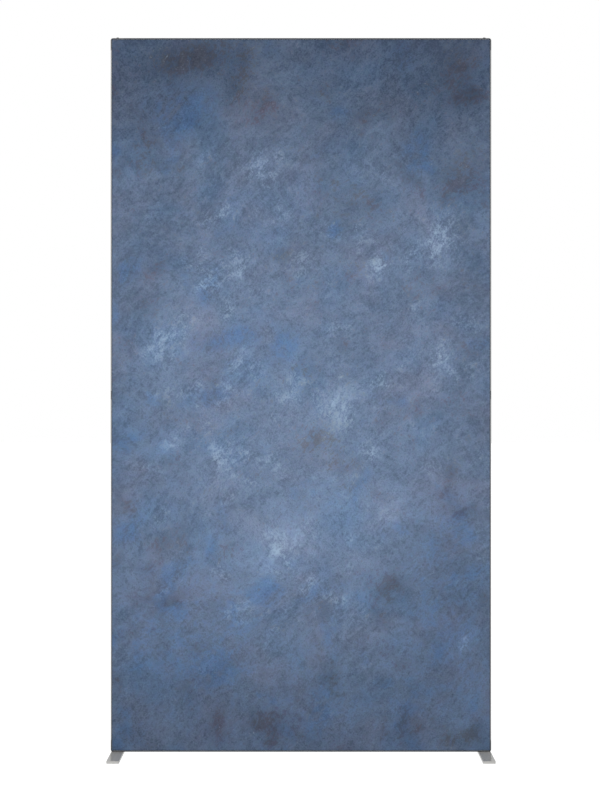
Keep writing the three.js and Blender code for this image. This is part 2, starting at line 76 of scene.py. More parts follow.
def add_camera():
    fabric_low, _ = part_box("fabric_face")
    data = bpy.data.cameras.new("camera")
    data.sensor_width = SENSOR
    data.lens = SENSOR * CAMERA_DISTANCE / VIEW_AT_WALL
    data.shift_x = -VIEW_LEFT
    data.shift_y = -VIEW_DROP
    data.clip_end = FAR_CLIP
    camera = bpy.data.objects.new("camera", data)
    camera.location = (0, fabric_low.y - CAMERA_DISTANCE, CAMERA_HEIGHT)
    camera.rotation_euler = (math.pi / 2, 0, 0)
    bpy.context.scene.collection.objects.link(camera)
    bpy.context.scene.camera = camera


# ---------------------------------------------------------------- shader helpers


class Tree:
    """A node tree with short calls for the nodes that the finishes use. Each call returns the
    socket that holds its result, and takes sockets or plain numbers."""

    def __init__(self, tree):
        self.tree = tree
        self.nodes = tree.nodes

    def put(self, value, socket):
        """Links a socket, or sets a plain value."""
        if isinstance(value, bpy.types.NodeSocket):
            self.tree.links.new(value, socket)
        elif value is not None:
            socket.default_value = value

    def coordinates(self):
        return self.nodes.new("ShaderNodeTexCoord").outputs["Object"]

    def attribute(self, name):
        node = self.nodes.new("ShaderNodeAttribute")
        node.attribute_name = name
        return node.outputs["Fac"]

    def mapping(self, vector, scale=(1, 1, 1), place=(0, 0, 0)):
        node = self.nodes.new("ShaderNodeMapping")
        self.put(vector, node.inputs["Vector"])
        node.inputs["Scale"].default_value = scale
        node.inputs["Location"].default_value = place
        return node.outputs["Vector"]

    def leaning(self, vector, lean, length, place=(0, 0, 0)):
        """Draws a pattern out to so many times its length, along a line that leans this many
        degrees from upright towards +X."""
        node = self.nodes.new("ShaderNodeMapping")
        node.vector_type = "TEXTURE"
        self.put(vector, node.inputs["Vector"])
        node.inputs["Scale"].default_value = (1, 1, length)
        node.inputs["Rotation"].default_value = (0, math.radians(lean), 0)
        node.inputs["Location"].default_value = place
        return node.outputs["Vector"]

    def axis(self, vector, letter):
        node = self.nodes.new("ShaderNodeSeparateXYZ")
        self.put(vector, node.inputs[0])
        return node.outputs[letter]

    def noise(self, vector, scale, detail=2.0, rough=0.5, distortion=0.0):
        node = self.nodes.new("ShaderNodeTexNoise")
        self.put(vector, node.inputs["Vector"])
        self.put(scale, node.inputs["Scale"])
        node.inputs["Detail"].default_value = detail
        node.inputs["Roughness"].default_value = rough
        node.inputs["Distortion"].default_value = distortion
        return node.outputs["Fac"]

    def noise_colour(self, vector, scale, detail=2.0):
        node = self.nodes.new("ShaderNodeTexNoise")
        self.put(vector, node.inputs["Vector"])
        self.put(scale, node.inputs["Scale"])
        node.inputs["Detail"].default_value = detail
        return node.outputs["Color"]

    def waves(self, vector, scale, direction):
        node = self.nodes.new("ShaderNodeTexWave")
        node.bands_direction = direction
        self.put(vector, node.inputs["Vector"])
        self.put(scale, node.inputs["Scale"])
        node.inputs["Distortion"].default_value = 0.0
        return node.outputs["Fac"]

    def maths(self, operation, a, b=None, clamp=False):
        node = self.nodes.new("ShaderNodeMath")
        node.operation = operation
        node.use_clamp = clamp
        self.put(a, node.inputs[0])
        self.put(b, node.inputs[1])
        return node.outputs[0]

    def vector_maths(self, operation, a, b):
        node = self.nodes.new("ShaderNodeVectorMath")
        node.operation = operation
        self.put(a, node.inputs[0])
        self.put(b, node.inputs[1])
        return node.outputs[0]

    def scaled(self, vector, amount):
        node = self.nodes.new("ShaderNodeVectorMath")
        node.operation = "SCALE"
        self.put(vector, node.inputs[0])
        self.put(amount, node.inputs["Scale"])
        return node.outputs[0]

    def span(self, value, low, high, new_low=0.0, new_high=1.0, smooth=False):
        """Maps low..high to new_low..new_high, and holds the ends."""
        node = self.nodes.new("ShaderNodeMapRange")
        node.interpolation_type = "SMOOTHSTEP" if smooth else "LINEAR"
        self.put(value, node.inputs["Value"])
        self.put(low, node.inputs["From Min"])
        self.put(high, node.inputs["From Max"])
        self.put(new_low, node.inputs["To Min"])
        self.put(new_high, node.inputs["To Max"])
        return node.outputs["Result"]

    def blend(self, share, a, b, kind="MIX"):
        node = self.nodes.new("ShaderNodeMix")
        node.data_type = "RGBA"
        node.blend_type = kind
        self.put(share, node.inputs[0])
        self.put(a, node.inputs[6])
        self.put(b, node.inputs[7])
        return node.outputs[2]

    def group(self, group, **values):
        node = self.nodes.new("ShaderNodeGroup")
        node.node_tree = group
        for name, value in values.items():
            self.put(value, node.inputs[name.replace("_", " ")])
        return node.outputs

    def bump(self, height, strength, distance):
        node = self.nodes.new("ShaderNodeBump")
        node.inputs["Strength"].default_value = strength
        node.inputs["Distance"].default_value = distance
        self.put(height, node.inputs["Height"])
        return node.outputs["Normal"]


def rgb(red, green, blue):
    return (red, green, blue, 1.0)


def new_group(name, inputs, outputs):
    """An empty shader group. Inputs are (name, kind, default), outputs (name, kind)."""
    group = bpy.data.node_groups.new(name, "ShaderNodeTree")
    for label, kind, default in inputs:
        socket = group.interface.new_socket(label, in_out="INPUT", socket_type="NodeSocket" + kind)
        if default is not None:
            socket.default_value = default
    for label, kind in outputs:
        group.interface.new_socket(label, in_out="OUTPUT", socket_type="NodeSocket" + kind)
    given = group.nodes.new("NodeGroupInput").outputs
    result = group.nodes.new("NodeGroupOutput").inputs
    return group, Tree(group), given, result


def new_material(name):
    material = bpy.data.materials.new(name)
    material.use_nodes = True
    tree = Tree(material.node_tree)
    shader = tree.nodes["Principled BSDF"]
    return material, tree, shader.inputs


# ---------------------------------------------------------------- shared effects


def make_handling_marks():
    """Faint clouding and small specks that soften a plain colour and its gloss: Shade is a factor
    about 1, and Gloss an offset about 0."""
    group, tree, given, result = new_group(
        "handling_marks",
        [("Vector", "Vector", None), ("Clouding", "Float", 0.1), ("Specks", "Float", 0.1)],
        [("Shade", "Float"), ("Gloss", "Float")],
    )
    cloud = tree.noise(given["Vector"], 14.0, 5.0, 0.6, 0.4)
    speck = tree.noise(given["Vector"], 420.0, 2.0, 0.6)
    cloud_part = tree.maths("MULTIPLY", tree.maths("SUBTRACT", cloud, 0.5), given["Clouding"])
    speck_part = tree.maths("MULTIPLY", tree.maths("SUBTRACT", speck, 0.5), given["Specks"])
    both = tree.maths("ADD", cloud_part, speck_part)
    tree.put(tree.maths("ADD", both, 1.0), result["Shade"])
    tree.put(tree.maths("SUBTRACT", speck_part, cloud_part), result["Gloss"])
    return group


def make_drawn_lines():
    """Fine parallel lines left by a die or a brush. The vector is already stretched so that the
    lines run along it. Lines is a height, and Streaks a slow change of tone from line to line."""
    group, tree, given, result = new_group(
        "drawn_lines", [("Vector", "Vector", None)], [("Lines", "Float"), ("Streaks", "Float")]
    )
    tree.put(tree.noise(given["Vector"], 1.0, 3.0, 0.7), result["Lines"])
    tree.put(tree.noise(given["Vector"], 0.13, 2.0, 0.5), result["Streaks"])
    return group


handling_marks = make_handling_marks()
drawn_lines = make_drawn_lines()


# ---------------------------------------------------------------- finishes

LIP_BACK = -19 * MM  # painted shade: the front millimetre of the rails is darker
LIP_FADE = 0.5 * MM

# The paints, laid on as they are.
NIGHT_BLUE = (0.029, 0.047, 0.085, 1)
SLATE_BLUE = (0.070, 0.1035, 0.167, 1)
DUSTY_BLUE = (0.118, 0.171, 0.270, 1)
HAZE_BLUE = (0.236, 0.326, 0.468, 1)
CHALK_BLUE = (0.30, 0.41, 0.54, 1)
# Painted shade where the cloth turns into the frame's groove, not a paint of the print.
GROOVE_SHADE_COLOUR = (0.01, 0.014, 0.022, 1)

# The glazes, which multiply what lies below.
WARM_GLAZE = (1.11, 0.99, 0.965, 1)
SKY_GLAZE = (0.88, 0.985, 1.045, 1)
GREEN_GLAZE = (0.99, 1.02, 0.985, 1)
PINK_GLAZE = (1.01, 0.98, 1.015, 1)
DEEP_BLUE_GLAZE = (0.72, 0.90, 1.07, 1)
RED_UMBER_GLAZE = (0.68, 0.53, 0.52, 1)
BROWN_UMBER_GLAZE = (0.67, 0.565, 0.495, 1)


def drawn_metal(name, colour, roughness, stretch, line_depth, clouding=0.12, metallic=1.0, gloss=0.5,
                rim=1.0, lip_shade=None):
    """Bare, anodised or lacquered metal with die or brush lines. stretch is how many lines to the
    metre run past along each axis, rim dulls the mirror at a flat angle, and the lip colour, where
    given, is painted shade: a darker colour laid on the front edge of the same metal."""
    material, tree, shader = new_material(name)
    place = tree.coordinates()
    lines = tree.group(drawn_lines, Vector=tree.mapping(place, scale=stretch))
    marks = tree.group(handling_marks, Vector=place, Clouding=clouding, Specks=0.05)
    streak = tree.span(lines["Streaks"], 0.3, 0.7, 0.95, 1.05)
    shade = tree.maths("MULTIPLY", marks["Shade"], streak)
    ground = rgb(*colour)
    # Painted shade: the front edge takes the darker lip colour, which stands in for shade there.
    if lip_shade:
        depth = tree.axis(place, "Y")
        behind_lip = tree.span(depth, LIP_BACK, LIP_BACK + LIP_FADE)
        ground = tree.blend(behind_lip, rgb(*lip_shade), ground)
    shade_grey = tree.blend(shade, rgb(0, 0, 0), rgb(1, 1, 1))
    tree.put(tree.blend(1.0, ground, shade_grey, "MULTIPLY"), shader["Base Color"])
    line_rough = tree.span(lines["Lines"], 0.3, 0.7, roughness - 0.05, roughness + 0.07)
    mark_rough = tree.maths("MULTIPLY", marks["Gloss"], 0.5)
    tree.put(tree.maths("ADD", line_rough, mark_rough), shader["Roughness"])
    shader["Metallic"].default_value = metallic
    shader["Specular IOR Level"].default_value = gloss
    shader["Specular Tint"].default_value = rgb(rim, rim, rim)
    tree.put(tree.bump(lines["Lines"], 0.35, line_depth), shader["Normal"])
    return material


def plain_metal(name, colour, roughness):
    """Small turned, pressed or plated pieces."""
    material, tree, shader = new_material(name)
    place = tree.coordinates()
    marks = tree.group(handling_marks, Vector=place, Clouding=0.25, Specks=0.2)
    base = tree.blend(marks["Shade"], rgb(0, 0, 0), rgb(*colour))
    tree.put(base, shader["Base Color"])
    fine = tree.noise(place, 900.0, 2.0, 0.6)
    tree.put(tree.span(fine, 0.3, 0.7, roughness - 0.06, roughness + 0.08), shader["Roughness"])
    shader["Metallic"].default_value = 1.0
    tree.put(tree.bump(fine, 0.2, 0.02 * MM), shader["Normal"])
    return material


def moulded(name, colour, roughness, grain_scale, grain_depth):
    """Moulded plastic or rubber with a spark-eroded grain."""
    material, tree, shader = new_material(name)
    place = tree.coordinates()
    marks = tree.group(handling_marks, Vector=place, Clouding=0.22, Specks=0.25)
    tree.put(tree.blend(marks["Shade"], rgb(0, 0, 0), rgb(*colour)), shader["Base Color"])
    grain = tree.noise(place, grain_scale, 3.0, 0.6)
    tree.put(tree.span(grain, 0.3, 0.7, roughness - 0.08, roughness + 0.08), shader["Roughness"])
    tree.put(tree.bump(grain, 0.5, grain_depth), shader["Normal"])
    return material


def about_zero(tree, value, amount):
    return tree.maths("MULTIPLY", tree.maths("SUBTRACT", value, 0.5), amount)


def coat(tree, value, amount):
    """A coat with ragged but fairly crisp edges: minus to plus the amount."""
    return tree.span(value, 0.43, 0.57, -amount, amount, True)


def total(tree, first, *rest):
    for value in rest:
        first = tree.maths("ADD", first, value)
    return first


def glaze(tree, share, colour, tint):
    return tree.blend(share, colour, tree.blend(1.0, colour, tint, "MULTIPLY"))


def stray(tree, place, scale, reach):
    """A small random shift either way along each axis, to fray an edge."""
    shift = tree.vector_maths("SUBTRACT", tree.noise_colour(place, scale), (0.5, 0.5, 0.5))
    return tree.scaled(shift, reach)


def painted_colour(tree, place):
    """The painted ground, from the lowest coat up: slate laid on with a wide rag, a warmer and a
    cooler blue worked into it, then deep blue, umber smudges and pale broken dabs."""
    moved = tree.vector_maths("ADD", place, stray(tree, place, 2.6, 0.12))
    rough_edge = tree.vector_maths("ADD", moved, stray(tree, place, 24.0, 0.03))

    clouds = tree.noise(moved, 3.2, 3.0, 0.5)
    patches = tree.noise(tree.leaning(rough_edge, 50, 1.25, (3, 0, 1)), 11.0, 5.0, 0.6, 0.3)
    daubs = tree.noise(tree.leaning(rough_edge, 48, 1.5, (5, 0, 2)), 32.0, 4.0, 0.65, 0.4)
    strokes = tree.noise(tree.leaning(moved, 42, 2.8), 120.0, 3.0, 0.7, 0.2)
    cross = tree.noise(tree.leaning(moved, -38, 2.2, (1, 0, 6)), 105.0, 3.0, 0.7, 0.2)
    grain = tree.noise(place, 190.0, 3.0, 0.75)

    broken = tree.span(daubs, 0.36, 0.62, 0.3, 1.2)
    flecks = total(
        tree,
        about_zero(tree, strokes, 1.0),
        about_zero(tree, cross, 0.8),
        about_zero(tree, grain, 0.8),
    )
    pale_mark = tree.maths("MULTIPLY", tree.attribute("pale"), broken)
    umber_mark = tree.maths("MULTIPLY", tree.attribute("umber"), broken)
    blue_mark = tree.maths("MULTIPLY", tree.attribute("blue"), broken)

    light = total(
        tree,
        tree.attribute("light"),
        tree.maths("MULTIPLY", tree.attribute("pale"), 0.1),
        tree.maths("MULTIPLY", pale_mark, 0.12),
        about_zero(tree, clouds, 0.35),
        coat(tree, patches, 0.056),
        coat(tree, daubs, 0.055),
        about_zero(tree, strokes, 0.68),
        about_zero(tree, cross, 0.56),
        about_zero(tree, grain, 0.95),
    )
    colour = tree.blend(tree.span(light, -0.35, 0.1), NIGHT_BLUE, SLATE_BLUE)
    colour = tree.blend(tree.span(light, 0.1, 0.45), colour, DUSTY_BLUE)
    colour = tree.blend(tree.span(light, 0.45, 1.1), colour, HAZE_BLUE)

    hues = tree.nodes.new("ShaderNodeSeparateColor")
    tree.put(tree.noise_colour(tree.mapping(rough_edge, place=(7, 0, 4)), 6.5, 6.0), hues.inputs[0])
    colour = glaze(tree, tree.span(hues.outputs["Red"], 0.45, 0.66), colour, WARM_GLAZE)
    colour = glaze(tree, tree.span(hues.outputs["Green"], 0.5, 0.68), colour, SKY_GLAZE)
    threads = tree.noise(tree.mapping(moved, place=(4, 0, 8)), 70.0, 3.0, 0.6)
    green = tree.blend(1.0, colour, GREEN_GLAZE, "MULTIPLY")
    pink = tree.blend(1.0, colour, PINK_GLAZE, "MULTIPLY")
    colour = tree.blend(tree.span(threads, 0.35, 0.65), green, pink)

    blue_edge = total(
        tree,
        blue_mark,
        about_zero(tree, patches, 1.0),
        flecks,
        tree.span(hues.outputs["Blue"], 0.56, 0.72, 0.0, 0.7),
    )
    colour = glaze(tree, tree.span(blue_edge, 0.2, 0.95, smooth=True), colour, DEEP_BLUE_GLAZE)

    smudges = tree.noise(tree.mapping(rough_edge, place=(11, 0, 9)), 7.0, 6.0, 0.65)
    shaded = tree.span(tree.attribute("light"), 0.15, 0.5, 1.0, 0.5)
    umber_edge = total(
        tree,
        umber_mark,
        tree.maths("MULTIPLY", shaded, tree.span(smudges, 0.52, 0.68, 0.0, 0.8)),
        about_zero(tree, patches, 0.9),
        about_zero(tree, daubs, 0.6),
        tree.maths("MULTIPLY", flecks, 3.0),
    )
    brownness = tree.noise(tree.mapping(place, place=(6, 0, 3)), 4.0, 2.0)
    stain = tree.blend(tree.span(brownness, 0.42, 0.58), RED_UMBER_GLAZE, BROWN_UMBER_GLAZE)
    colour = glaze(tree, tree.span(umber_edge, 0.25, 1.05, smooth=True), colour, stain)

    clusters = tree.noise(tree.mapping(rough_edge, place=(2, 0, 13)), 8.0, 5.0, 0.65)
    lit = tree.span(tree.attribute("light"), 0.1, 0.45, 0.3, 1.0)
    pale_edge = total(
        tree,
        pale_mark,
        tree.maths("MULTIPLY", lit, tree.span(clusters, 0.48, 0.63)),
        about_zero(tree, daubs, 1.0),
        tree.maths("MULTIPLY", flecks, 2.4),
    )
    colour = tree.blend(tree.span(pale_edge, 0.5, 2.2, 0.0, 0.6, True), colour, CHALK_BLUE)
    # Painted shade: the print darkens towards the groove where the cloth turns in.
    return tree.blend(tree.attribute("groove_shade"), colour, GROOVE_SHADE_COLOUR)


def knit_height(tree, place):
    """Rows and columns of fine knit loops, about a millimetre apart."""
    rows = tree.waves(place, 1 / (2 * MM), "Z")
    columns = tree.waves(place, 1 / (1.6 * MM), "X")
    return tree.maths("ADD", rows, columns)


def printed_canvas():
    material, tree, shader = new_material("printed_canvas")
    place = tree.coordinates()
    tree.put(painted_colour(tree, place), shader["Base Color"])
    height = knit_height(tree, place)
    tree.put(tree.span(height, 0.0, 2.0, 0.78, 0.92), shader["Roughness"])
    tree.put(tree.bump(height, 0.25, 0.08 * MM), shader["Normal"])
    shader["Specular IOR Level"].default_value = 0.25
    shader["Sheen Weight"].default_value = 0.06
    shader["Sheen Roughness"].default_value = 0.5
    return material


def canvas_back():
    """The unprinted side: white yarn with the paint faintly showing through."""
    material, tree, shader = new_material("canvas_back")
    place = tree.coordinates()
    through = tree.blend(0.3, rgb(0.62, 0.64, 0.66), painted_colour(tree, place))
    tree.put(through, shader["Base Color"])
    height = knit_height(tree, place)
    tree.put(tree.span(height, 0.0, 2.0, 0.82, 0.95), shader["Roughness"])
    tree.put(tree.bump(height, 0.3, 0.08 * MM), shader["Normal"])
    shader["Specular IOR Level"].default_value = 0.2
    return material


UPRIGHT_STRETCH = (1500, 1500, 3)
RAIL_STRETCH = (3, 1500, 1500)
FOOT_STRETCH = (1100, 6, 1100)
ANODISED = (0.27, 0.272, 0.275)
# The rails' darker lip is painted shade on the same anodised metal as the uprights.
LIP_SHADE_COLOUR = (0.04, 0.045, 0.056)

finish = {
    "upright": drawn_metal("anodised_upright", ANODISED, 0.38, UPRIGHT_STRETCH, 0.02 * MM),
    "rail": drawn_metal("anodised_rail_lip_shade", ANODISED, 0.38, RAIL_STRETCH, 0.02 * MM, lip_shade=LIP_SHADE_COLOUR),
    "foot": drawn_metal("silver_foot_plate", (0.42, 0.415, 0.402), 0.06, FOOT_STRETCH, 0.004 * MM,
                        clouding=0.3, metallic=0.4, gloss=0.0, rim=0.8),
    "connector": moulded("dark_moulded", (0.067, 0.069, 0.073), 0.5, 1600.0, 0.04 * MM),
    "steel": plain_metal("plated_steel", (0.5, 0.505, 0.51), 0.3),
    "button": plain_metal("blackened_steel", (0.03, 0.031, 0.034), 0.5),
    "spring": plain_metal("spring_steel", (0.36, 0.37, 0.39), 0.35),
    "brass": plain_metal("turned_brass", (0.6, 0.42, 0.17), 0.35),
    "rubber": moulded("pad_rubber", (0.022, 0.022, 0.023), 0.75, 2200.0, 0.05 * MM),
    "silicone": moulded("edge_silicone", (0.62, 0.64, 0.65), 0.5, 900.0, 0.02 * MM),
    "canvas": printed_canvas(),
    "canvas_back": canvas_back(),
}


# ---------------------------------------------------------------- mesh helpers


FLAT_TO_FACET = 5.0  # a face this many times larger than its neighbour counts as flat
EDGE_ROUND = {
    "corner": 0.6 * MM,
    "joiner": 0.5 * MM,
    "foot": 0.3 * MM,
    "pad": 0.25 * MM,
    "button": 0.2 * MM,
    "screw": 0.15 * MM,
}


def new_piece(name, points, faces):
    """A mesh object from a list of points and a list of faces."""
    mesh = bpy.data.meshes.new(name)
    mesh.from_pydata(points, [], faces)
    mesh.update()
    piece = bpy.data.objects.new(name, mesh)
    bpy.context.scene.collection.objects.link(piece)
    return piece


def smooth(piece, angle=35):
    """Shades smooth, with edges sharper than the angle kept crisp, and also those where a large
    flat face meets the first facet of a round, so that the flat face stays flat."""
    mesh = piece.data
    mesh.shade_smooth()
    mesh.set_sharp_from_angle(angle=math.radians(angle))
    shape = bmesh.new()
    shape.from_mesh(mesh)
    for edge in shape.edges:
        if len(edge.link_faces) == 2 and edge.calc_face_angle() > math.radians(1):
            areas = sorted(face.calc_area() for face in edge.link_faces)
            if areas[1] > FLAT_TO_FACET * areas[0]:
                edge.smooth = False
    shape.to_mesh(mesh)
    shape.free()


def fit(piece, body, slot, material, *nodes):
    """Puts a finished piece on its body in place of its CAD nodes."""
    piece.data.materials.clear()
    piece.data.materials.append(material)
    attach(piece, body)
    if nodes:
        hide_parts(*nodes)


def body_of_node(node):
    groups = frame["record"]["behaviour"]["bodies"]
    return next(body for body, nodes in groups.items() if node in nodes)


def copy_of(node, name):
    """A new piece with a CAD node's mesh, its flat faces made whole."""
    piece = bpy.data.objects.new(name, frame["nodes"][node].data.copy())
    piece.data.name = name
    bpy.context.scene.collection.objects.link(piece)
    shape = bmesh.new()
    shape.from_mesh(piece.data)
    bmesh.ops.remove_doubles(shape, verts=shape.verts, dist=0.005 * MM)
    bmesh.ops.dissolve_limit(shape, angle_limit=math.radians(1), verts=shape.verts, edges=shape.edges)
    shape.to_mesh(piece.data)
    shape.free()
    return piece


def softened(node, name, slot, material, radius):
    """A CAD node's shape with its sharp edges rounded."""
    piece = copy_of(node, name)
    bevel = piece.modifiers.new("rounded_edges", "BEVEL")
    bevel.width = radius
    bevel.segments = 2
    bevel.limit_method = "ANGLE"
    bevel.angle_limit = math.radians(40)
    bevel.harden_normals = True
    smooth(piece)
    fit(piece, body_of_node(node), slot, material, node)


def grid_quads(rows, columns, closed=False):
    """Faces of a grid of points that is stored row by row. A closed grid joins its last row to its
    first."""
    row, column = np.indices((rows if closed else rows - 1, columns - 1))
    here = row * columns + column
    beside = (row + 1) % rows * columns + column
    return np.stack([here, beside, beside + 1, here + 1], axis=-1)


def turned(name, centre, axis, profile, sides=48):
    """A surface of revolution about a line through centre along axis "y" or "z". The profile lists
    (radius, place along the axis) from the axis back to the axis, the way that makes the faces
    point outwards. Point = centre + radius (cos a, sin a) across the axis + place along it."""
    radius, along = np.array(profile).T
    angle = np.arange(sides) * 2 * math.pi / sides
    across = np.outer(np.cos(angle), radius)
    upward = np.outer(np.sin(angle), radius)
    length = np.broadcast_to(along, across.shape)
    if axis == "z":
        points = np.stack([centre[0] + across, centre[1] + upward, length], axis=-1)
    else:
        points = np.stack([centre[0] + upward, length, centre[2] + across], axis=-1)
    quads = grid_quads(sides, len(profile), closed=True).reshape(-1, 4)
    piece = new_piece(name, points.reshape(-1, 3).tolist(), quads.tolist())
    weld(piece)
    return piece


def weld(piece):
    """Merges the points that meet at seams and poles."""
    shape = bmesh.new()
    shape.from_mesh(piece.data)
    bmesh.ops.remove_doubles(shape, verts=shape.verts, dist=0.001 * MM)
    bmesh.ops.recalc_face_normals(shape, faces=shape.faces)
    shape.to_mesh(piece.data)
    shape.free()


# ---------------------------------------------------------------- fabric

# Soft marks on the painting: (across from the middle, height, long radius, short radius, lean of
# the long way from level in degrees, strength). All but the last two are in metres.
CLOUDS = [
    (0.0, 1.15, 1.05, 0.85, 90, 0.34),
    (0.0, 0.80, 0.5, 0.8, 90, 0.06),
    (-0.05, 0.66, 0.40, 0.24, 25, 0.14),
    (0.30, 1.50, 0.40, 0.28, 70, 0.06),
    (-0.20, 1.15, 0.35, 0.30, 50, 0.02),
    (0.12, 1.14, 0.16, 0.09, 20, 0.08),
    (-0.34, 1.38, 0.22, 0.12, 50, 0.06),
    (-0.50, 1.90, 0.20, 0.14, 50, 0.05),
    (0.0, 2.30, 0.9, 0.26, 0, -0.20),
    (0.45, 2.15, 0.30, 0.25, 0, -0.12),
    (-0.45, 2.22, 0.30, 0.12, 0, -0.05),
    (-0.52, 2.12, 0.18, 0.24, 0, -0.16),
    (0.0, 2.16, 0.14, 0.12, 0, 0.05),
    (0.0, 0.0, 0.9, 0.26, 0, -0.11),
]
BLUES = [
    (-0.384, 2.067, 0.14, 0.09, 15, 0.9),
    (0.330, 2.240, 0.07, 0.05, 80, 0.8),
    (0.363, 1.926, 0.11, 0.06, 85, 0.8),
    (0.112, 1.683, 0.04, 0.03, 40, 1.2),
    (-0.243, 1.330, 0.12, 0.04, 12, 1.0),
    (-0.295, 1.500, 0.08, 0.04, 80, 0.8),
    (-0.560, 1.550, 0.07, 0.04, 60, 0.9),
    (-0.050, 1.310, 0.08, 0.05, 60, 0.8),
    (-0.279, 0.278, 0.06, 0.045, 30, 1.1),
    (0.060, 0.150, 0.07, 0.03, 80, 0.8),
    (-0.350, 0.450, 0.35, 0.20, 20, 0.45),
    (0.450, 0.650, 0.25, 0.16, 80, 0.45),
    (0.100, 0.800, 0.30, 0.20, 30, 0.35),
    (0.0, 0.12, 0.9, 0.28, 0, 0.45),
    (-0.50, 0.95, 0.20, 0.30, 0, 0.3),
    (0.52, 0.40, 0.20, 0.30, 0, 0.3),
]
UMBERS = [
    (-0.346, 2.232, 0.11, 0.048, 8, 1.8),
    (-0.190, 2.179, 0.09, 0.03, 75, 0.9),
    (-0.130, 2.050, 0.05, 0.04, 20, 0.7),
    (0.494, 2.175, 0.085, 0.055, 60, 0.9),
    (0.528, 2.102, 0.045, 0.03, 10, 1.4),
    (0.500, 1.846, 0.075, 0.06, 50, 0.9),
    (0.231, 1.760, 0.06, 0.05, 40, 0.7),
    (-0.466, 1.555, 0.045, 0.025, 30, 0.9),
    (-0.275, 1.202, 0.025, 0.018, 70, 0.9),
    (0.040, 1.010, 0.08, 0.06, 30, 0.55),
    (0.480, 0.900, 0.05, 0.02, 80, 0.9),
    (0.520, 0.780, 0.03, 0.025, 20, 0.9),
    (-0.590, 0.621, 0.022, 0.016, 60, 0.9),
    (-0.442, 0.679, 0.05, 0.04, 60, 0.8),
    (-0.243, 0.647, 0.055, 0.03, 30, 0.8),
    (0.286, 0.538, 0.06, 0.045, 70, 0.9),
    (0.587, 0.506, 0.04, 0.02, 80, 0.8),
    (0.254, 0.439, 0.04, 0.018, -55, 0.8),
    (-0.266, 0.102, 0.055, 0.022, 80, 1.2),
    (-0.131, 0.112, 0.04, 0.03, 40, 0.9),
    (0.324, 0.086, 0.055, 0.02, 85, 1.0),
    (0.510, 0.054, 0.08, 0.03, 10, 0.9),
]
DABS = [
    (-0.307, 1.920, 0.035, 0.02, 50, 0.79),
    (-0.115, 1.894, 0.07, 0.045, 40, 0.70),
    (-0.250, 1.740, 0.07, 0.035, 40, 0.79),
    (-0.060, 1.740, 0.08, 0.045, 40, 0.62),
    (0.430, 1.640, 0.075, 0.045, 50, 0.88),
    (0.241, 1.548, 0.05, 0.04, 40, 0.88),
    (-0.180, 1.560, 0.08, 0.04, 60, 0.42),
    (-0.319, 1.603, 0.035, 0.02, 20, 0.75),
    (0.452, 1.263, 0.065, 0.035, 70, 0.97),
    (-0.372, 1.375, 0.06, 0.03, 40, 0.88),
    (-0.468, 1.311, 0.045, 0.025, 60, 0.88),
    (-0.208, 1.234, 0.08, 0.04, 65, 0.88),
    (0.125, 1.138, 0.06, 0.04, 35, 0.79),
    (0.221, 0.996, 0.05, 0.04, 45, 0.70),
    (-0.413, 1.000, 0.05, 0.03, 30, 0.79),
    (-0.260, 0.930, 0.12, 0.06, 40, 0.44),
    (-0.051, 0.669, 0.10, 0.055, 35, 0.97),
    (0.286, 0.785, 0.05, 0.045, 40, 0.79),
    (0.128, 0.496, 0.03, 0.02, 30, 0.70),
    (0.523, 0.352, 0.045, 0.03, 40, 0.70),
    (-0.320, 1.506, 0.03, 0.02, 40, 0.70),
]

FOLD_RADIUS = 2.6 * MM  # of the fabric's edge as it turns into the groove
GROOVE_SHADE_START = 1.5 * MM  # how far before the fold the painted groove shade begins to darken the print
# The most that painted groove shade darkens the print.
GROOVE_SHADE_STRENGTH = 0.8
HEM = 10 * MM  # straight run inside the groove
FABRIC_THICKNESS = 0.3 * MM
FABRIC_OVERHANG = 0.1 * MM  # past the flat stand-in on each side
FABRIC_SINK = 0.05 * MM  # behind the front of the flat stand-in
CELLS_ACROSS = 140  # over the flat face
CELLS_UP = 262
BEND_STEPS = 4  # round the fold
NOTCH_CELLS = 4  # cut out of each corner, each way: the hem and half of the fold


def soft_marks(x, z, marks):
    """Sum of soft ovals: each is its strength times exp(-(long^2 + short^2)), where long and short
    are the distances along its own two axes over its radii."""
    total = np.zeros_like(x)
    for across, height, long_radius, short_radius, lean, strength in marks:
        angle = math.radians(lean)
        along = (x - across) * math.cos(angle) + (z - height) * math.sin(angle)
        beside = (z - height) * math.cos(angle) - (x - across) * math.sin(angle)
        total += strength * np.exp(-((along / long_radius) ** 2) - (beside / short_radius) ** 2)
    return total


def folded(flat, edge):
    """Where a point of the flat cloth, at a distance from its middle line, lies once the edge is
    turned back round a small radius: its place across, and how far it lies behind the face."""
    reach = np.abs(flat)
    start = edge - FOLD_RADIUS
    turn = np.clip((reach - start) / FOLD_RADIUS, 0, math.pi / 2)
    straight = np.clip(reach - start - FOLD_RADIUS * math.pi / 2, 0, None)
    across = np.minimum(reach, start) + FOLD_RADIUS * np.sin(turn)
    behind = FOLD_RADIUS * (1 - np.cos(turn)) + straight
    return np.sign(flat) * across, behind


def flat_places(edge, cells):
    """Even steps over the face, then close ones round the fold and down the hem, both ways."""
    start = edge - FOLD_RADIUS
    face = np.linspace(GROOVE_SHADE_START - start, start - GROOVE_SHADE_START, cells + 1)
    bend = start + FOLD_RADIUS * np.linspace(0, math.pi / 2, BEND_STEPS + 1)[1:]
    hem = bend[-1] + HEM * np.array([0.5, 1.0])
    outside = np.concatenate([[start], bend, hem])
    return np.concatenate([-outside[::-1], face, outside])


def shade_in_groove(flat, edge):
    """Painted shade of the groove: how far the print is darkened where the cloth turns in, 0 on the
    face, rising evenly to full where the cloth stands square to the face."""
    start = edge - FOLD_RADIUS - GROOVE_SHADE_START
    length = GROOVE_SHADE_START + FOLD_RADIUS * math.pi / 2
    return GROOVE_SHADE_STRENGTH * np.clip((np.abs(flat) - start) / length, 0, 1)


